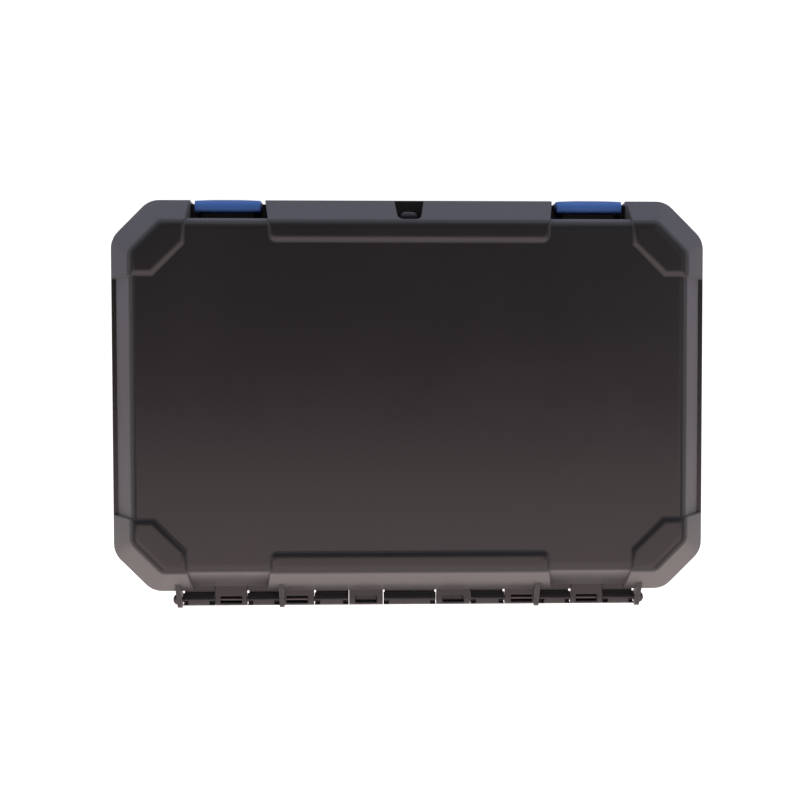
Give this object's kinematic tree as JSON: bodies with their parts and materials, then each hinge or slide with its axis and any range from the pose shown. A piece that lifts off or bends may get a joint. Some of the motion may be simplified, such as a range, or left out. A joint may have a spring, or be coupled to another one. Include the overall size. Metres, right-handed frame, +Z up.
{
  "type": "rotary tool kit case",
  "caption": "Hard moulded carrying case with raised corner armour, pinned back hinge, front latches, folding handle and an insert with bays for a tool and its accessories.",
  "frame": {"origin": "middle of the overall outline, on the surface the closed case lies on", "axes": "+Z up out of the lid face, +Y towards the hinge, -Y towards the latches and the handle, +X along the long side"},
  "size_m": [0.367, 0.253, 0.112],
  "materials": {
    "shell": "fine satin moulded surface",
    "latch": "smooth moulded surface",
    "pin": "drawn wire",
    "insert": "plain moulded surface"
  },
  "bodies": {
    "base": {"base_shell": "shell", "insert_tray": "insert", "hinge_pin_left": "pin", "hinge_pin_right": "pin", "latch_pin_left": "pin", "latch_pin_right": "pin", "handle_pin_left": "pin", "handle_pin_right": "pin"},
    "lid": {"lid_shell": "shell"},
    "left_latch": {"latch_left": "latch"},
    "right_latch": {"latch_right": "latch"},
    "bail": {"handle": "shell"}
  },
  "joints": [
    {"name": "lid_hinge", "type": "hinge", "parent": "base", "child": "lid", "pos_m": [0, 0.1212, 0.076], "axis": [-1, 0, 0], "range_deg": [0, 180]},
    {"name": "left_latch_pivot", "type": "hinge", "parent": "base", "child": "left_latch", "pos_m": [-0.1112, -0.1195, 0.048], "axis": [1, 0, 0], "range_deg": [0, 100]},
    {"name": "right_latch_pivot", "type": "hinge", "parent": "base", "child": "right_latch", "pos_m": [0.1112, -0.1195, 0.048], "axis": [1, 0, 0], "range_deg": [0, 100]},
    {"name": "handle_pivot", "type": "hinge", "parent": "base", "child": "bail", "pos_m": [0, -0.119, 0.059], "axis": [-1, 0, 0], "range_deg": [0, 90]}
  ]
}
